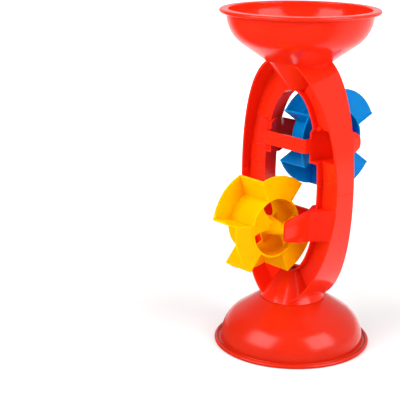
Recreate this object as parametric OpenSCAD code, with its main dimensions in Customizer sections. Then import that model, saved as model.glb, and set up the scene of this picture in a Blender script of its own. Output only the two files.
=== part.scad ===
/* [Overall] */
// Height of the whole mill, from the ground to the top of the funnel
mill_h = 320; // [300:1:350]

/* [Bowls] */
// Radius of the funnel over its lip
funnel_rim_r = 73.5; // [70:0.5:85]
// Radius of the base over its lip
base_rim_r = 75; // [70:0.5:85]
// Depth of a bowl from its lip to the seat on the frame
bowl_h = 46; // [42:1:50]
// Width of the flat lip round a bowl
lip_w = 6.3; // [5:0.1:8]
// Thickness of the flat lip
lip_t = 2; // [1.5:0.1:3]
// Thickness of the bead along the edge of the lip
bead_d = 3.6; // [3:0.1:5]
// Thickness of the bowl and spout walls
bowl_wall = 2; // [1.5:0.1:2.6]
// Radius of the bend between the upright wall and the sloping floor
bend_r = 34; // [26:1:36]
// Width of the bowl's foot past the collar that it stands on
foot_over = 2.6; // [1.5:0.1:3.5]
// Radius of the spout's outlet
outlet_r = 5; // [4:0.1:6]

/* [Frame] */
// Half width of the oval frame at mid height
oval_half_w = 65.2; // [62:0.2:72]
// Height by which the oval would pass over the collar
oval_over_h = 4; // [3:0.5:6]
// Half width of the window at mid height
window_half_w = 35.5; // [34.5:0.1:36.5]
// Thickness of the flanges along the arms
flange_t = 2; // [1.6:0.1:2.6]
// Thickness of the web between the flanges
web_t = 3; // [2:0.1:4]
// Half width of the outer flange at mid height
outer_flange_y = 10.6; // [9:0.1:12]
// Half width of the inner flange
inner_flange_y = 7.2; // [6:0.1:9]
// Radius along which the outer flange flares towards the collar
flare_r = 520; // [420:10:700]
// Height of the conical collar that holds a spout
collar_h = 27.5; // [25:0.5:30]
// Outer radius of the collar at its wide end
collar_wide_r = 30.1; // [28:0.1:32]
// Outer radius of the collar at its narrow end
collar_narrow_r = 10; // [9:0.5:12]
// Thickness of the collar, measured level
collar_wall = 2.3; // [1.8:0.1:2.6]

/* [Joints in the frame] */
// Gap at the seam between the two halves
seam_gap = 0.2; // [0.1:0.05:0.4]
// Length of the tongues that lap past the seam
tongue_l = 8; // [5:0.5:12]
// Clearance round a seated spout
fit_gap = 0.2; // [0.1:0.05:0.3]

/* [Yokes] */
// Distance of a wheel's axis from the middle plane of the frame
axle_y = 39.1; // [36:0.1:42]
// Height of the upper wheel's axis over mid height
upper_axle_z = 36.7; // [34:0.1:38]
// Depth of the lower wheel's axis under mid height
lower_axle_z = 34.9; // [34:0.1:38]
// Distance from the middle plane to the face of the crossbar
bar_y = 16.4; // [15:0.1:18]
// Thickness of the crossbar
bar_t = 2; // [1.5:0.1:3]
// Height of the crossbar
bar_h = 12.9; // [10:0.1:14]
// Lower edge of the upper crossbar, from the axis
upper_bar_z = -3.9; // [-5:0.1:-2]
// Upper edge of the lower crossbar, from the axis
lower_bar_z = 4.5; // [2:0.1:6]
// Radius of the corner between the crossbar and a side plate
corner_r = 1.4; // [1:0.1:2]
// Half width of the yoke over its side plates, in front of the arms
yoke_half_w = 28.3; // [27:0.1:29]
// Thickness of a side plate
plate_t = 2.2; // [1.8:0.1:2.8]
// Distance from the middle plane to a side plate's edge above and below the crossbar
plate_front_y = 8.4; // [7.6:0.1:9]
// Distance behind the middle plane where a side plate has bent out to its lug
plate_bend_y = 14; // [10:0.5:17]
// Distance from the mill's middle to a lug's inner face
lug_in_x = 32; // [31:0.1:33]
// Width of a lug from its inner to its outer face
lug_w = 5.3; // [5:0.1:6.5]
// Length of a lug beyond the wheel's axis
lug_end_l = 8; // [6:0.1:9]
// Half height of a lug level with the axis
lug_tip_z = 10.2; // [8:0.1:11]
// Half height of a lug at its knee
lug_knee_z = 12.6; // [11:0.1:14]
// Distance of that knee from the middle plane
lug_knee_y = 28; // [24:0.5:30]
// Half height of the flat on the lug's outer face
lug_face_z = 5; // [4:0.1:6]
// Radius of the curved wall between a lug and its arm
gusset_r = 22.5; // [20:0.5:24]
// Top of the upper half's pockets, from the axis
upper_pocket_high = 17.2; // [16:0.1:20]
// Bottom of the upper half's pockets, from the axis
upper_pocket_low = -11.4; // [-13:0.1:-8]
// Top of the lower half's pockets, from the axis
lower_pocket_high = 14.4; // [12:0.1:16]
// Bottom of the lower half's pockets, from the axis
lower_pocket_low = -11; // [-16:0.1:-9]

/* [Wheels] */
// Radius over the tips of the blades
tip_r = 48.3; // [44:0.1:51]
// Outer radius of the drum
drum_r = 28.6; // [26:0.1:31]
// Half length of the drum and blades
wheel_half_l = 17; // [14:0.1:20]
// Thickness of the blades and bucket walls
blade_t = 1.8; // [1.4:0.1:2.6]
// Height by which the blades stand out past the bucket walls
blade_proud = 0.3; // [0.2:0.1:0.6]
// Thickness of the drum
drum_t = 1.8; // [1.4:0.1:2.6]
// Radius of the hub at its thick middle
hub_r = 8.5; // [8:0.1:12]
// Radius of the hub at its tip
hub_tip_r = 3.8; // [3.4:0.1:4.6]
// Half length of the hub's thick middle
hub_core_l = 8; // [6:0.5:10]
// Depth of the spoked plates, from the drum's edge
plate_depth = 4; // [1:0.5:6]
// Height by which the spoked plates rise to the hub
plate_rise = 4; // [2:0.5:6]
// Thickness of the spoked plates
spoke_t = 1.8; // [1.4:0.1:2.4]
// Radius of the axle pins
pin_r = 3; // [2.4:0.1:3.4]
// Radial clearance of an axle pin in its socket
pin_gap = 0.05; // [0.02:0.01:0.1]
// Gap between the wheel and the lugs along the axle
end_gap = 0.3; // [0.2:0.05:0.5]
// Wall left behind a socket
socket_floor = 1.2; // [1:0.1:1.6]
// Turn of the spoked plate on the right from the nearest blade
spoke_turn = 18; // [0:1:30]
// Turn of the spoked plate on the left from the nearest blade
left_spoke_turn = 9; // [0:1:30]
// Turn of the upper wheel at rest
upper_turn = 25; // [0:1:360]
// Turn of the lower wheel at rest
lower_turn = 50; // [0:1:360]

/* [Hidden] */
$fn = 96;
// Overrun of every cut past the face it opens
over = 1;
mid_z = mill_h / 2;
// Collar: its wide end carries the bowl, its narrow end opens into the window
collar_top_z = mid_z - bowl_h;
collar_low_z = collar_top_z - collar_h;
spout_wide_r = collar_wide_r - collar_wall - fit_gap;
spout_narrow_r = collar_narrow_r - collar_wall - fit_gap;
spout_wall = spout_narrow_r - outlet_r;
// Oval and window outlines
oval_half_h = collar_top_z + oval_over_h;
// Exponent that makes the window a little squarer than an ellipse
window_share = 2.1;
oval_step = 3;
// Half width of the outer flange at a height over mid height
function flange_y(z) = outer_flange_y + z * z / (2 * flare_r);
// Upper half of a rounded oval, with exponent n
function oval(a, b, n) = [for (t = [0:oval_step:180])
    [a * sign(cos(t)) * pow(abs(cos(t)), 2 / n), b * pow(sin(t), 2 / n)]];
// Points of an arc
function arc(x, y, r, a, b, n) = [for (i = [0:n])
    [x + r * cos(a + (b - a) * i / n), y + r * sin(a + (b - a) * i / n)]];
// Lug and its pocket
lug_x = lug_in_x + lug_w;
yoke_in_x = yoke_half_w - plate_t;
gusset_x = lug_x + gusset_r;
lug_end_y = axle_y + lug_end_l;
gusset_y = web_t / 2 + gusset_r;
pocket_share = 0.8;
pocket_y = gusset_y * pocket_share;
socket_r = pin_r + pin_gap;
socket_x = lug_x - socket_floor;
hub_tip_x = lug_in_x - end_gap;
pin_end_x = socket_x - end_gap;
nose_share = 0.25;
nose_w = lug_w * nose_share;
// The rounding at a lug's end starts level with the socket, this far inside the inner face
lead_in = 0.3;
lug_round_y = axle_y - socket_r;
// Depth to which a tongue is let into the flanges beside it
lap_bite = 0.3;
// Step along the crossbar's face: its height as a share of the bar, and its depth
groove_share = 0.45;
groove_t = 0.5;
// Gap between the axis and a round cut-out of a spoked plate, as a share of the hub
cut_gap_share = 0.45;

// Profile of a bowl standing on its seat, from the axis outwards
module bowl_profile(rim_r) {
    wall_r = rim_r - lip_w;
    bend_z = bowl_h - bead_d;
    bend_x = wall_r - bend_r;
    inner_bend_r = bend_r - bowl_wall;
    foot_r = collar_wide_r + foot_over;
    // The floor leaves the foot as a tangent of the bend
    bend_reach = norm([bend_x - foot_r, bend_z]);
    bend_angle = atan2(bend_x - foot_r, bend_z) + asin(bend_r / bend_reach);
    in_foot_r = foot_r - bowl_wall * cos(bend_angle);
    in_foot_z = bowl_wall * sin(bend_angle);
    bead_r = bead_d / 2;
    polygon(concat(
        [[spout_wide_r - spout_wall, 0], [outlet_r, -collar_h]],
        [[spout_narrow_r, -collar_h], [spout_wide_r, 0], [foot_r, 0]],
        arc(bend_x, bend_z, bend_r, -bend_angle, 0, 8),
        [[wall_r, bowl_h - lip_t], [rim_r - bead_d, bowl_h - lip_t]],
        arc(rim_r - bead_r, bowl_h - bead_r, bead_r, -90, 90, 8),
        [[wall_r - bowl_wall, bowl_h]],
        arc(bend_x, bend_z, inner_bend_r, 0, -bend_angle, 8),
        [[in_foot_r, in_foot_z]]
    ));
}

module bowl(rim_r) {
    color("red")
        rotate_extrude()
            bowl_profile(rim_r);
}

// Extrudes an outline drawn in X and Z, centred on the middle plane
module along_y(half) {
    rotate([90, 0, 0])
        translate([0, 0, -half])
            linear_extrude(2 * half)
                children();
}

// Extrudes an outline drawn in Y and Z, from one X to another
module along_x(from, to) {
    translate([from, 0, 0])
        rotate([90, 0, 90])
            linear_extrude(to - from)
                children();
}

module oval_ring(half_w, half_h, share, grow) {
    difference() {
        polygon(oval(half_w + grow, half_h + grow, share));
        polygon(oval(half_w, half_h, share));
    }
}

module outer_flange() {
    steps = 12;
    side = [for (i = [0:steps]) [flange_y(oval_half_h * i / steps), oval_half_h * i / steps]];
    other = [for (i = [steps:-1:0]) [-side[i][0], side[i][1]]];
    intersection() {
        along_y(flange_y(oval_half_h) + over)
            oval_ring(oval_half_w - flange_t, oval_half_h - flange_t, 2, flange_t);
        along_x(-oval_half_w - over, oval_half_w + over)
            polygon(concat(side, other));
    }
}

module web() {
    inset = flange_t / 2;
    along_y(web_t / 2)
        difference() {
            polygon(oval(oval_half_w - inset, oval_half_h - inset, 2));
            polygon(oval(window_half_w + inset, collar_low_z + inset, window_share));
        }
}

module inner_flange() {
    along_y(inner_flange_y)
        oval_ring(window_half_w, collar_low_z, window_share, flange_t);
}

module collar() {
    translate([0, 0, collar_low_z])
        cylinder(h = collar_h, r1 = collar_narrow_r, r2 = collar_wide_r);
}

// Everything that a seated bowl needs free, from the outlet upwards
module spout_space() {
    wide_r = spout_wide_r + fit_gap;
    narrow_r = spout_narrow_r + fit_gap;
    slope = (wide_r - narrow_r) / collar_h;
    rotate_extrude()
        polygon([
            [0, collar_low_z - over],
            [narrow_r - over * slope, collar_low_z - over],
            [wide_r, collar_top_z],
            [oval_half_w, collar_top_z],
            [oval_half_w, oval_half_h + over],
            [0, oval_half_h + over]
        ]);
}

// Side outline of a lug between two heights at the arm, drawn in Y and Z
function lug_side(low, high) = concat(
    [[-plate_front_y, low], [web_t, low], [lug_knee_y, -lug_knee_z]],
    [for (t = [-75:15:75]) [axle_y + lug_end_l * cos(t), lug_tip_z * sin(t)]],
    [[lug_knee_y, lug_knee_z], [web_t, high]],
    [[-web_t, high], [-plate_front_y, high - 2 * plate_t]]
);

// Side outline of the pocket behind it
function pocket_side(low, high) = [
    [-bar_y, low], [web_t, low], [lug_knee_y, plate_t - lug_knee_z],
    [lug_knee_y, lug_knee_z - plate_t], [web_t, high], [-bar_y, high]
];

// Corners in plan of a side plate's face, where it bends out from the yoke to its lug
function plate_bend(t) = [[yoke_in_x + t, web_t], [lug_in_x + t, plate_bend_y]];

// Bar of the lug on the right, with bevelled edges and its end rounded on the inside
module lug_bar(tall) {
    from = lug_in_x - over;
    bevel_x = lug_in_x + plate_t;
    intersection() {
        along_y(lug_end_y + over)
            polygon([
                [from, -tall],
                [bevel_x, -tall],
                [bevel_x, -lug_knee_z],
                [lug_x, -lug_face_z],
                [lug_x, lug_face_z],
                [bevel_x, lug_knee_z],
                [bevel_x, tall],
                [from, tall]
            ]);
        translate([0, 0, -tall - over])
            linear_extrude(2 * (tall + over))
                polygon(concat(
                    [[lug_x + over, 0], [lug_x + over, lug_end_y]],
                    [for (t = [0:15:90]) [
                        lug_x - nose_w - (lug_w - nose_w + lead_in) * sin(t),
                        lug_round_y + (lug_end_y - lug_round_y) * cos(t)
                    ]],
                    [[from - over, lug_round_y], [from - over, 0]]
                ));
    }
}

// Curved wall that sweeps from the web out to the lug
module gusset(tall) {
    from = lug_in_x - over;
    translate([0, 0, -tall])
        linear_extrude(2 * tall)
            polygon(concat(
                [[from, 0], [from, lug_round_y], [lug_in_x + plate_t / 2, lug_round_y]],
                [[lug_x, gusset_y]],
                arc(gusset_x, gusset_y, gusset_r, 185, 270, 10),
                [[gusset_x, 0]]
            ));
}

// Solid that the side plate, floor and ceiling of a pocket are left from
module plate_block(tall) {
    translate([yoke_in_x - over, -plate_front_y - over, -tall])
        cube([window_half_w - yoke_in_x + over, plate_front_y + over + plate_bend_y, 2 * tall]);
}

// Room in plan that everything on the right of the yoke keeps to
module plate_limit(tall) {
    translate([0, 0, -tall])
        linear_extrude(2 * tall)
            polygon(concat(
                [[yoke_in_x, -plate_front_y - 2 * over]],
                plate_bend(0),
                [[lug_in_x, lug_end_y + over], [gusset_x + over, lug_end_y + over]],
                [[gusset_x + over, -plate_front_y - 2 * over]]
            ));
}

module right_lug(low, high) {
    tall = high - low;
    intersection() {
        along_x(yoke_in_x - 2 * over, gusset_x + 2 * over)
            polygon(lug_side(low, high));
        plate_limit(tall + 2 * over);
        union() {
            lug_bar(tall);
            gusset(tall);
            plate_block(tall);
        }
    }
}

module pocket(low, high) {
    inner_x = lug_in_x + plate_t;
    tall = high - low;
    r = gusset_r + plate_t;
    turn = asin((gusset_y - pocket_y) / r);
    intersection() {
        translate([0, 0, -tall])
            linear_extrude(2 * tall)
                polygon(concat(
                    [[yoke_half_w, -bar_y - over]],
                    plate_bend(plate_t),
                    [[inner_x, pocket_y]],
                    arc(gusset_x, gusset_y, r, 180 + turn, 270, 10),
                    [[gusset_x, -bar_y - over]]
                ));
        along_x(yoke_half_w - over, gusset_x + over)
            polygon(pocket_side(low, high));
    }
}

// Crossbar and the ends of the side plates, as one bent strip with a shallow step
module yoke_bar(low) {
    half = yoke_half_w;
    step_z = bar_h * groove_share;
    translate([0, 0, low])
        difference() {
            linear_extrude(bar_h)
                difference() {
                    polygon(concat(
                        arc(corner_r - half, corner_r - bar_y, corner_r, 180, 270, 4),
                        arc(half - corner_r, corner_r - bar_y, corner_r, 270, 360, 4),
                        [[half, -web_t], [-half, -web_t]]
                    ));
                    translate([-yoke_in_x, bar_t - bar_y])
                        square([2 * yoke_in_x, bar_y]);
                }
            translate([corner_r + groove_t - half, -bar_y - over, step_z])
                cube([2 * (half - corner_r - groove_t), over + groove_t, bar_h]);
        }
}

module both_sides() {
    children();
    mirror([1, 0, 0])
        children();
}

// Tongues: the rear half of the web runs past the seam, between the flanges
module tongues() {
    from = window_half_w + flange_t;
    both_sides()
        translate([from, seam_gap / 2, -tongue_l])
            cube([oval_half_w - flange_t - lap_bite - from, (web_t - seam_gap) / 2, tongue_l + over]);
}

// Space that the other half's tongues take from the front half of the web
module tongue_space() {
    from = window_half_w + flange_t - lap_bite;
    both_sides()
        translate([from, -web_t / 2 - over, -over])
            cube([
                oval_half_w - flange_t + lap_bite - from,
                over + (web_t + seam_gap) / 2,
                over + tongue_l + seam_gap
            ]);
}

// Web, inner flange and lugs, kept within the oval
module arms(wheel_z, low, high) {
    web();
    inner_flange();
    intersection() {
        translate([0, 0, wheel_z])
            both_sides()
                right_lug(low - plate_t, high + plate_t);
        along_y(lug_end_y + over)
            polygon(oval(oval_half_w - flange_t / 2, oval_half_h - flange_t / 2, 2));
    }
}

// Half of the frame, drawn upright with mid height at zero and the lugs towards +Y
module half_frame(wheel_z, bar_z, low, high) {
    color("red") {
        difference() {
            union() {
                outer_flange();
                collar();
                difference() {
                    arms(wheel_z, low, high);
                    translate([0, 0, wheel_z])
                        both_sides()
                            pocket(low, high);
                }
                translate([0, 0, wheel_z])
                    yoke_bar(bar_z);
            }
            spout_space();
            translate([-socket_x, axle_y, wheel_z])
                rotate([0, 90, 0])
                    cylinder(h = 2 * socket_x, r = socket_r);
            translate([-oval_half_w - over, -bar_y - over, -over])
                cube([2 * (oval_half_w + over), 2 * (bar_y + over), over + seam_gap / 2]);
            tongue_space();
        }
        tongues();
    }
}

// A third of the bucket walls: sectors of sixty degrees that close every other bucket
module wall_sectors(first) {
    reach = 2 * tip_r;
    for (k = [0:2])
        rotate([0, 0, first + 120 * k])
            linear_extrude(blade_t)
                polygon([[0, 0], [reach, 0], [reach * cos(60), reach * sin(60)]]);
}

// Plate with two round cut-outs centred on the drum's face, which leave two opposite spokes
module spoked_plate(turn) {
    inner_r = drum_r - drum_t / 2;
    cut_gap = hub_r * cut_gap_share;
    difference() {
        rotate_extrude()
            polygon([
                [0, wheel_half_l - plate_depth + plate_rise],
                [inner_r, wheel_half_l - plate_depth],
                [inner_r, wheel_half_l - plate_depth - spoke_t],
                [0, wheel_half_l - plate_depth + plate_rise - spoke_t]
            ]);
        for (k = [0:1])
            rotate([0, 0, turn + 180 * k])
                translate([drum_r, 0, 0])
                    cylinder(h = wheel_half_l + plate_rise, r = drum_r - cut_gap);
    }
}

// Wheel with its axis along Z
module wheel_body() {
    side_z = wheel_half_l - blade_proud;
    drum_z = wheel_half_l + blade_proud;
    difference() {
        union() {
            intersection() {
                translate([0, 0, -wheel_half_l])
                    cylinder(h = 2 * wheel_half_l, r = tip_r);
                for (k = [0:5])
                    rotate([0, 0, 60 * k])
                        translate([0, -blade_t / 2, -wheel_half_l - over])
                            cube([tip_r + over, blade_t, 2 * (wheel_half_l + over)]);
            }
            intersection() {
                translate([0, 0, -wheel_half_l])
                    cylinder(h = 2 * wheel_half_l, r = tip_r - blade_proud);
                union() {
                    translate([0, 0, side_z - blade_t])
                        wall_sectors(0);
                    translate([0, 0, -side_z])
                        wall_sectors(60);
                }
            }
            translate([0, 0, -drum_z])
                cylinder(h = 2 * drum_z, r = drum_r);
        }
        translate([0, 0, -drum_z - over])
            cylinder(h = 2 * (drum_z + over), r = drum_r - drum_t);
    }
    spoked_plate(spoke_turn);
    mirror([0, 0, 1])
        spoked_plate(left_spoke_turn);
    translate([0, 0, -hub_core_l])
        cylinder(h = 2 * hub_core_l, r = hub_r);
    for (flip = [0:1])
        mirror([0, 0, flip]) {
            translate([0, 0, hub_core_l])
                cylinder(h = hub_tip_x - hub_core_l, r1 = hub_r, r2 = hub_tip_r);
            cylinder(h = pin_end_x, r = pin_r);
        }
}

module wheel(tone, turn) {
    color(tone)
        rotate([turn, 0, 0])
            rotate([90, 0, 90])
                wheel_body();
}

module funnel() {
    translate([0, 0, mill_h - bowl_h])
        bowl(funnel_rim_r);
}

module base() {
    translate([0, 0, bowl_h])
        mirror([0, 0, 1])
            bowl(base_rim_r);
}

module upper_half_frame() {
    translate([0, 0, mid_z])
        half_frame(upper_axle_z, upper_bar_z, upper_pocket_low, upper_pocket_high);
}

module lower_half_frame() {
    translate([0, 0, mid_z])
        rotate([180, 0, 0])
            half_frame(lower_axle_z, -lower_bar_z, -lower_pocket_high, -lower_pocket_low);
}

module upper_wheel() {
    translate([0, axle_y, mid_z + upper_axle_z])
        wheel("dodgerblue", upper_turn);
}

module lower_wheel() {
    translate([0, -axle_y, mid_z - lower_axle_z])
        wheel("gold", lower_turn);
}

funnel();
base();
upper_half_frame();
lower_half_frame();
upper_wheel();
lower_wheel();
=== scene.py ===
import math

import bmesh
import bpy
from mathutils import Matrix, Vector


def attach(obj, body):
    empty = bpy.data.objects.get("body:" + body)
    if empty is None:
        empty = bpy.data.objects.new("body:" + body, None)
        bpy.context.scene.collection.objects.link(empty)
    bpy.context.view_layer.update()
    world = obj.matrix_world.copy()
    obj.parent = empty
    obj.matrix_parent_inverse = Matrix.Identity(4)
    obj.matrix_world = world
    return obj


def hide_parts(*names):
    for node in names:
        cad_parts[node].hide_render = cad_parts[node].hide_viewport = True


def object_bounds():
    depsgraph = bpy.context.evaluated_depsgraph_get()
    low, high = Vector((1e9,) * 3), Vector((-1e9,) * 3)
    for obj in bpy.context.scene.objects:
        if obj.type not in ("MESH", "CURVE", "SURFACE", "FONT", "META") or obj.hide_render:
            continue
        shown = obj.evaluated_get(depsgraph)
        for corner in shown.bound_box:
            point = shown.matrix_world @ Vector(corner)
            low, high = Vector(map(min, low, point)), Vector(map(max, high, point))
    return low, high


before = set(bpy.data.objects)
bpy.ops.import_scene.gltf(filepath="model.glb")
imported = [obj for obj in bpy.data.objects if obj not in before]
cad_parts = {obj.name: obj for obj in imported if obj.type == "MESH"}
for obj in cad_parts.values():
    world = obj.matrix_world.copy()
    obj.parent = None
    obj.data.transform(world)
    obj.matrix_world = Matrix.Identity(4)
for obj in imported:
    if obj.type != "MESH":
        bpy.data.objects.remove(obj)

CAD_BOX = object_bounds()
MM = 0.001

# ---------------------------------------------------------------- sizes, as in part.scad
# Lengths in millimetres.
FUNNEL_RIM_R, BASE_RIM_R = 73.5, 75.0
FUNNEL_SEAT, BASE_SEAT = 274.0, 46.0
COLLAR_H = 27.5
FRAME_EDGE, WHEEL_EDGE = 0.35, 0.3
TURN_STEPS = 192

# ---------------------------------------------------------------- camera
# The view was solved from the photograph's proportions. Angles in degrees.
VIEW_AZ, VIEW_EL, VIEW_ROLL = 50.22, 16.39, 0.51
VIEW_DIST = 1.07088
FOCAL_PX = 1128.28
FRAME_PX = 400.0
CENTRE_PX = (218.16, 212.89)
AIM_ACROSS, AIM_UP = -0.07252, -0.03279
SENSOR_MM = 36.0


def view_axes():
    az, el, roll = (math.radians(v) for v in (VIEW_AZ, VIEW_EL, VIEW_ROLL))
    ahead = Vector((-math.sin(az) * math.cos(el), math.cos(az) * math.cos(el), -math.sin(el)))
    level = Vector((math.cos(az), math.sin(az), 0.0))
    above = level.cross(ahead)
    right = math.cos(roll) * level + math.sin(roll) * above
    up = -math.sin(roll) * level + math.cos(roll) * above
    return ahead, level, right, up


def make_camera():
    ahead, level, right, up = view_axes()
    middle = (CAD_BOX[0][2] + CAD_BOX[1][2]) / 2
    aim = Vector((0, 0, middle)) + level * AIM_ACROSS + Vector((0, 0, AIM_UP))
    data = bpy.data.cameras.new("photo_view")
    data.sensor_width = SENSOR_MM
    data.lens = FOCAL_PX * SENSOR_MM / FRAME_PX
    data.shift_x = (FRAME_PX / 2 - CENTRE_PX[0]) / FRAME_PX
    data.shift_y = (CENTRE_PX[1] - FRAME_PX / 2) / FRAME_PX
    cam = bpy.data.objects.new("photo_view", data)
    bpy.context.scene.collection.objects.link(cam)
    turn = Matrix((right, up, -ahead)).transposed().to_4x4()
    turn.translation = aim - ahead * VIEW_DIST
    cam.matrix_world = turn
    bpy.context.scene.camera = cam


# ---------------------------------------------------------------- node helpers
def noise(tree, place, scale, detail):
    node = tree.nodes.new("ShaderNodeTexNoise")
    node.inputs["Scale"].default_value = scale
    node.inputs["Detail"].default_value = detail
    tree.links.new(place.outputs["Object"], node.inputs["Vector"])
    return node.outputs["Fac"]


def bump(tree, height, strength, depth, under=None):
    node = tree.nodes.new("ShaderNodeBump")
    node.inputs["Strength"].default_value = strength
    node.inputs["Distance"].default_value = depth
    tree.links.new(height, node.inputs["Height"])
    if under is not None:
        tree.links.new(under, node.inputs["Normal"])
    return node.outputs["Normal"]


def mapped(tree, value, source, target):
    """A value brought from one range to another, held at the ends."""
    node = tree.nodes.new("ShaderNodeMapRange")
    keys = ("From Min", "From Max", "To Min", "To Max")
    for key, number in zip(keys, (*source, *target)):
        node.inputs[key].default_value = number
    tree.links.new(value, node.inputs["Value"])
    return node.outputs["Result"]


def two_tones(tree, value, stops):
    """A colour ramp between two stops, each a position and a colour."""
    node = tree.nodes.new("ShaderNodeValToRGB")
    for element, (position, colour) in zip(node.color_ramp.elements, stops):
        element.position = position
        element.color = (*colour, 1)
    tree.links.new(value, node.inputs["Fac"])
    return node.outputs["Color"]


# ---------------------------------------------------------------- plastics
# Each noise has a scale per metre and a detail. Bump depths are in metres.
TONE_DRIFT, GLOSS_SMEAR = (14.0, 3.0), (45.0, 5.0)
FLOW_MARKS, FINE_SKIN = (60.0, 2.0), (1400.0, 2.0)
TONE_STOPS = 0.25, 0.75
GLOSS_RANGE, GLOSS_DROP, GLOSS_RISE = (0.3, 0.7), 0.05, 0.07
FLOW_STRENGTH, FLOW_DEPTH = 0.25, 0.0004
SKIN_STRENGTH, SKIN_DEPTH = 0.12, 0.00006
PLASTIC_IOR = 1.49


def moulded(name, colour, deep, glow, soft, shine, rough=0.15):
    """Glossy injection-moulded polypropylene: a faint drift of tone, flow marks and a fine skin.

    The light spreads inside it by glow, metres of red, green and blue, in the share soft.
    """
    mat = bpy.data.materials.new(name)
    mat.use_nodes = True
    tree = mat.node_tree
    shader = tree.nodes["Principled BSDF"]
    place = tree.nodes.new("ShaderNodeTexCoord")

    drift = noise(tree, place, *TONE_DRIFT)
    tone = two_tones(tree, drift, zip(TONE_STOPS, (deep, colour)))
    tree.links.new(tone, shader.inputs["Base Color"])

    smear = noise(tree, place, *GLOSS_SMEAR)
    gloss = mapped(tree, smear, GLOSS_RANGE, (rough - GLOSS_DROP, rough + GLOSS_RISE))
    tree.links.new(gloss, shader.inputs["Roughness"])

    flow = bump(tree, noise(tree, place, *FLOW_MARKS), FLOW_STRENGTH, FLOW_DEPTH)
    skin = bump(tree, noise(tree, place, *FINE_SKIN), SKIN_STRENGTH, SKIN_DEPTH, flow)
    tree.links.new(skin, shader.inputs["Normal"])

    shader.inputs["IOR"].default_value = PLASTIC_IOR
    shader.inputs["Specular IOR Level"].default_value = shine
    shader.inputs["Subsurface Weight"].default_value = soft
    shader.inputs["Subsurface Radius"].default_value = glow
    shader.inputs["Subsurface Scale"].default_value = 1.0
    return mat


RED_GLOW = (0.003, 0.0006, 0.0004)
RED = moulded(
    "red_plastic",
    colour=(0.88, 0.021, 0.0035),
    deep=(0.83, 0.017, 0.003),
    glow=RED_GLOW,
    soft=0.1,
    shine=0.26,
)
# A darker copy of the red plastic for the base: painted shade, so the base is drawn darker than the
# funnel and frame. Its rougher gloss is its own.
RED_BASE_PAINTED_SHADE = moulded(
    "red_plastic_base_painted_shade",
    colour=(0.60, 0.017, 0.003),
    deep=(0.54, 0.015, 0.0025),
    glow=RED_GLOW,
    soft=0.1,
    shine=0.26,
    rough=0.2,
)
BLUE = moulded(
    "blue_plastic",
    colour=(0.0, 0.195, 0.53),
    deep=(0.0, 0.18, 0.48),
    glow=(0.0004, 0.003, 0.008),
    soft=0.6,
    shine=0.07,
)
YELLOW = moulded(
    "yellow_plastic",
    colour=(1.0, 0.43, 0.0),
    deep=(1.0, 0.40, 0.0),
    glow=(0.008, 0.003, 0.0004),
    soft=1.0,
    shine=0.05,
)

# ---------------------------------------------------------------- meshes
SAME_POINT_M = 2e-6
SEAM_REACH_M = 2e-5
LEVEL_M = 1e-6
FLAT_DEG, EDGE_DEG = 0.6, 32.0
EDGE_SEGMENTS = 3
NORMAL_WEIGHT = 60
SEAM = (CAD_BOX[0][2] + CAD_BOX[1][2]) / 2


def piece(name, bm, mat, body, slot, *nodes):
    mesh = bpy.data.meshes.new(name)
    bm.to_mesh(mesh)
    bm.free()
    mesh.materials.append(mat)
    obj = bpy.data.objects.new(name, mesh)
    bpy.context.scene.collection.objects.link(obj)
    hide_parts(*nodes)
    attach(obj, body)
    return obj


def softened(name, node, mat, body, slot, width, seam=None):
    """A CAD node with its facets merged and its edges rounded as a mould leaves them.

    Edges in the plane of the seam stay sharp, so that the two halves still meet there.
    """
    bm = bmesh.new()
    bm.from_mesh(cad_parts[node].data)
    bmesh.ops.remove_doubles(bm, verts=bm.verts, dist=SAME_POINT_M)
    bmesh.ops.dissolve_limit(
        bm, angle_limit=math.radians(FLAT_DEG), verts=bm.verts, edges=bm.edges, delimit=set()
    )
    weight = bm.edges.layers.float.new("bevel_weight_edge")
    for edge in bm.edges:
        if edge.calc_face_angle(0.0) < math.radians(EDGE_DEG):
            continue
        if seam is not None and all(abs(v.co.z - seam) < SEAM_REACH_M for v in edge.verts):
            edge.smooth = False
        else:
            edge[weight] = 1.0
    obj = piece(name, bm, mat, body, slot, node)
    bevel = obj.modifiers.new("edge", "BEVEL")
    bevel.width = width
    bevel.segments = EDGE_SEGMENTS
    bevel.limit_method = "WEIGHT"
    bevel.use_clamp_overlap = True
    bevel.harden_normals = False
    for face in obj.data.polygons:
        face.use_smooth = True
    normals = obj.modifiers.new("normals", "WEIGHTED_NORMAL")
    normals.keep_sharp = True
    normals.weight = NORMAL_WEIGHT
    return obj


def arc(cx, cz, r, start, end, steps):
    out = []
    for i in range(steps + 1):
        a = math.radians(start + (end - start) * i / steps)
        out.append((cx + r * math.cos(a), cz + r * math.sin(a)))
    return out


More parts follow.
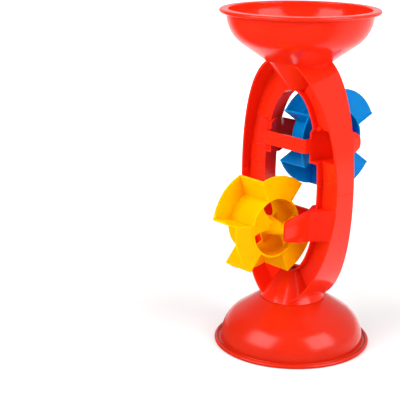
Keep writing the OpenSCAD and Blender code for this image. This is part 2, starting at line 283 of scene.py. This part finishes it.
def bowl_profile(rim_r):
    """Closed profile of a bowl on its seat at height 0, in millimetres, with its edges rounded."""
    bowl_h, lip_w, lip_t, bead_d, wall = 46.0, 6.3, 2.0, 3.6, 2.0
    bend_r, foot_r, outlet_r = 34.0, 32.7, 5.0
    wide_r, narrow_r = 27.6, 7.5
    outlet_edge, lip_fillet, bead_fillet, bead_lap, lip_edge = 1.2, 0.9, 0.4, 0.2, 1.1
    same_point = 0.02
    wall_r = rim_r - lip_w
    bend_z = bowl_h - bead_d
    bend_x = wall_r - bend_r
    reach = math.hypot(bend_x - foot_r, bend_z)
    bend = math.degrees(math.atan2(bend_x - foot_r, bend_z) + math.asin(bend_r / reach))
    in_foot = (foot_r - wall * math.cos(math.radians(bend)), wall * math.sin(math.radians(bend)))
    bead = bead_d / 2
    inner = wall_r - wall
    lip_z = bowl_h - lip_t

    # spout, outside, from the outlet's rounded edge up to the seat
    pts = arc((outlet_r + narrow_r) / 2, outlet_edge - COLLAR_H, outlet_edge, 180, 360, 8)
    pts += [(wide_r - 0.5, -0.6), (wide_r + 0.2, 0.0), (foot_r - 0.6, 0.05), (foot_r, 0.35)]
    # bowl, outside
    pts += arc(bend_x, bend_z, bend_r, -bend, 0, 26)
    # fillets under the lip, and its beaded edge
    pts += arc(wall_r + lip_fillet, lip_z - lip_fillet, lip_fillet, 180, 90, 5)
    pts += arc(rim_r - bead_d + bead_lap, lip_z - bead_fillet, bead_fillet, 90, 20, 3)
    pts += arc(rim_r - bead, bowl_h - bead, bead, 210, 450, 18)
    # lip's rounded inner edge, then the inside down to the outlet
    pts += arc(inner + lip_edge, bowl_h - lip_edge, lip_edge, 90, 180, 6)
    pts += arc(bend_x, bend_z, bend_r - wall, 0, -bend, 26)
    pts += [(in_foot[0] - 2.0, in_foot[1] - 1.25), (outlet_r + 0.35, 2.2 - COLLAR_H)]
    clean = [pts[0]]
    for p in pts[1:]:
        if math.dist(p, clean[-1]) > same_point:
            clean.append(p)
    return clean


def revolved(prof, seat_mm, up):
    """A closed profile in millimetres turned about the vertical, seated at a height."""
    bm = bmesh.new()
    rings = []
    for k in range(TURN_STEPS):
        a = 2 * math.pi * k / TURN_STEPS
        ring = []
        for r, z in prof:
            height = seat_mm + (z if up else -z)
            ring.append(bm.verts.new((r * MM * math.cos(a), r * MM * math.sin(a), height * MM)))
        rings.append(ring)
    n = len(prof)
    for k in range(TURN_STEPS):
        a, b = rings[k], rings[(k + 1) % TURN_STEPS]
        for i in range(n):
            j = (i + 1) % n
            bm.faces.new((a[i], a[j], b[j], b[i]))
    bmesh.ops.recalc_face_normals(bm, faces=bm.faces)
    for face in bm.faces:
        face.smooth = True
    return bm


def bowl(name, node, mat, rim_r, seat_mm, up):
    bm = revolved(bowl_profile(rim_r), seat_mm, up)
    return piece(name, bm, mat, "frame", "red_plastic", node)


def collar(name, node, seat_mm, up):
    """Smooth skin over the faceted cone of a half-frame's collar."""
    wide_r, narrow_r, skin, sunk, inset = 30.1, 10.0, 0.06, 0.5, 0.3
    slope = (wide_r - narrow_r) / COLLAR_H
    low, high = inset - COLLAR_H, -inset
    prof = [
        (narrow_r + slope * inset + skin, low),
        (wide_r - slope * inset + skin, high),
        (wide_r - slope * inset - sunk, high),
        (narrow_r + slope * inset - sunk, low),
    ]
    bm = revolved(prof, seat_mm, up)
    for edge in bm.edges:
        a, b = edge.verts
        if abs(a.co.z - b.co.z) < LEVEL_M:
            edge.smooth = False
    return piece(name, bm, RED, "frame", "red_plastic", node)


# ---------------------------------------------------------------- stage and light
# Azimuth 0 is straight in front, and 90 is on the right. Angles in degrees, lengths in metres.
BACKDROP_AZ, BACKDROP_EDGE = 190, (-0.05, 0.4)
FLOOR_HALF, FLOOR_DROP = 3.0, 0.0002
FLOOR_TONES = ((0.0, (0.70, 0.70, 0.70)), (1.0, (0.74, 0.74, 0.74)))
FLOOR_GRAIN, FLOOR_ROUGH, FLOOR_SHINE = (3.0, 2.0), 0.8, 0.2
FLOOR_FADE, FLOOR_LIFT, FLOOR_MIRRORED = (0.15, 0.9), (0.2, 1.0), (0.1, 1.3)
ROOM_FILL, ROOM_MIRRORED = 0.6, (0.04, 0.7)
PANEL_EL, PANEL_DIST, PANEL_HIGH, PANEL_AIM_Z = 28, 1.5, 1.1, 0.2


def towards_backdrop(tree, vector, dark, bright):
    """Value for reflections: bright towards the lit backdrop, dark towards the room in front."""
    az = math.radians(BACKDROP_AZ)
    unit = tree.nodes.new("ShaderNodeVectorMath")
    unit.operation = "NORMALIZE"
    tree.links.new(vector, unit.inputs[0])
    side = tree.nodes.new("ShaderNodeVectorMath")
    side.operation = "DOT_PRODUCT"
    side.inputs[1].default_value = (math.sin(az), -math.cos(az), 0)
    tree.links.new(unit.outputs[0], side.inputs[0])
    return mapped(tree, side.outputs["Value"], BACKDROP_EDGE, (dark, bright))


def floor_material():
    """Pale floor that looks white further off and keeps the toy's shadow near it. In reflections
    only, it glows brightest towards the backdrop side: a painted reflection of a lit backdrop.
    """
    mat = bpy.data.materials.new("pale_floor")
    mat.use_nodes = True
    tree = mat.node_tree
    nodes, links = tree.nodes, tree.links
    shader = nodes["Principled BSDF"]
    shader.inputs["Roughness"].default_value = FLOOR_ROUGH
    shader.inputs["Specular IOR Level"].default_value = FLOOR_SHINE
    place = nodes.new("ShaderNodeTexCoord")
    path = nodes.new("ShaderNodeLightPath")

    matt = nodes.new("ShaderNodeMix")
    matt.data_type = "RGBA"
    matt.inputs["B"].default_value = (0, 0, 0, 1)
    links.new(path.outputs["Is Glossy Ray"], matt.inputs["Factor"])
    grain = noise(tree, place, *FLOOR_GRAIN)
    links.new(two_tones(tree, grain, FLOOR_TONES), matt.inputs["A"])
    links.new(matt.outputs["Result"], shader.inputs["Base Color"])

    away = nodes.new("ShaderNodeVectorMath")
    away.operation = "LENGTH"
    links.new(place.outputs["Object"], away.inputs[0])
    fade = mapped(tree, away.outputs["Value"], FLOOR_FADE, FLOOR_LIFT)
    mirrored = nodes.new("ShaderNodeMath")
    mirrored.operation = "MULTIPLY"
    links.new(path.outputs["Is Glossy Ray"], mirrored.inputs[0])
    shine = towards_backdrop(tree, place.outputs["Object"], *FLOOR_MIRRORED)
    links.new(shine, mirrored.inputs[1])
    lift = nodes.new("ShaderNodeMath")
    lift.operation = "MULTIPLY_ADD"
    links.new(path.outputs["Is Camera Ray"], lift.inputs[0])
    links.new(fade, lift.inputs[1])
    links.new(mirrored.outputs[0], lift.inputs[2])
    shader.inputs["Emission Color"].default_value = (1, 1, 1, 1)
    links.new(lift.outputs[0], shader.inputs["Emission Strength"])
    return mat


def make_floor():
    bm = bmesh.new()
    corners = ((-1, -1), (1, -1), (1, 1), (-1, 1))
    bm.faces.new(
        [bm.verts.new((x * FLOOR_HALF, y * FLOOR_HALF, -FLOOR_DROP)) for x, y in corners]
    )
    mesh = bpy.data.meshes.new("floor")
    bm.to_mesh(mesh)
    bm.free()
    mesh.materials.append(floor_material())
    floor = bpy.data.objects.new("floor", mesh)
    bpy.context.scene.collection.objects.link(floor)


def make_world():
    """White to the camera. The room fills the shade, and only its back is bright in reflections."""
    world = bpy.data.worlds.new("studio")
    bpy.context.scene.world = world
    world.use_nodes = True
    tree = world.node_tree
    nodes, links = tree.nodes, tree.links
    nodes.clear()
    out = nodes.new("ShaderNodeOutputWorld")
    seen = nodes.new("ShaderNodeBackground")
    seen.inputs["Color"].default_value = (1, 1, 1, 1)
    seen.inputs["Strength"].default_value = 1.0
    fill = nodes.new("ShaderNodeBackground")
    fill.inputs["Color"].default_value = (1, 1, 1, 1)
    path = nodes.new("ShaderNodeLightPath")
    place = nodes.new("ShaderNodeTexCoord")
    room = nodes.new("ShaderNodeMapRange")
    room.inputs["To Min"].default_value = ROOM_FILL
    shine = towards_backdrop(tree, place.outputs["Generated"], *ROOM_MIRRORED)
    links.new(shine, room.inputs["To Max"])
    links.new(path.outputs["Is Glossy Ray"], room.inputs["Value"])
    links.new(room.outputs["Result"], fill.inputs["Strength"])
    mix = nodes.new("ShaderNodeMixShader")
    links.new(path.outputs["Is Camera Ray"], mix.inputs["Fac"])
    links.new(fill.outputs[0], mix.inputs[1])
    links.new(seen.outputs[0], mix.inputs[2])
    links.new(mix.outputs[0], out.inputs["Surface"])


def softbox(name, azimuth, wide, watts):
    """A panel lamp aimed at the toy."""
    az, el = math.radians(azimuth), math.radians(PANEL_EL)
    aim = Vector((0, 0, PANEL_AIM_Z))
    away = Vector((math.sin(az) * math.cos(el), -math.cos(az) * math.cos(el), math.sin(el)))
    lamp = bpy.data.lights.new(name, "AREA")
    lamp.shape = "RECTANGLE"
    lamp.size, lamp.size_y = wide, PANEL_HIGH
    lamp.energy = watts
    obj = bpy.data.objects.new(name, lamp)
    bpy.context.scene.collection.objects.link(obj)
    turn = (-away).to_track_quat("-Z", "Y").to_matrix().to_4x4()
    obj.matrix_world = Matrix.Translation(aim + away * PANEL_DIST) @ turn


bpy.context.scene.view_settings.view_transform = "Standard"
make_camera()
make_world()
make_floor()
softbox("left_panel", azimuth=-8, wide=1.15, watts=22.0)
softbox("right_panel", azimuth=100, wide=1.1, watts=20.5)

# ---------------------------------------------------------------- the toy
bowl("funnel_shell", "funnel", RED, FUNNEL_RIM_R, FUNNEL_SEAT, True)
bowl("base_shell", "base", RED_BASE_PAINTED_SHADE, BASE_RIM_R, BASE_SEAT, False)
for half in ("upper", "lower"):
    softened(
        f"{half}_frame_shell",
        f"{half}_half_frame",
        RED,
        "frame",
        "red_plastic",
        FRAME_EDGE * MM,
        SEAM,
    )
collar("upper_collar_skin", "upper_half_frame", FUNNEL_SEAT, True)
collar("lower_collar_skin", "lower_half_frame", BASE_SEAT, False)
for half, mat, slot in (("upper", BLUE, "blue_plastic"), ("lower", YELLOW, "yellow_plastic")):
    softened(
        f"{half}_wheel_shell",
        f"{half}_wheel",
        mat,
        f"{half}_spinner",
        slot,
        WHEEL_EDGE * MM,
    )
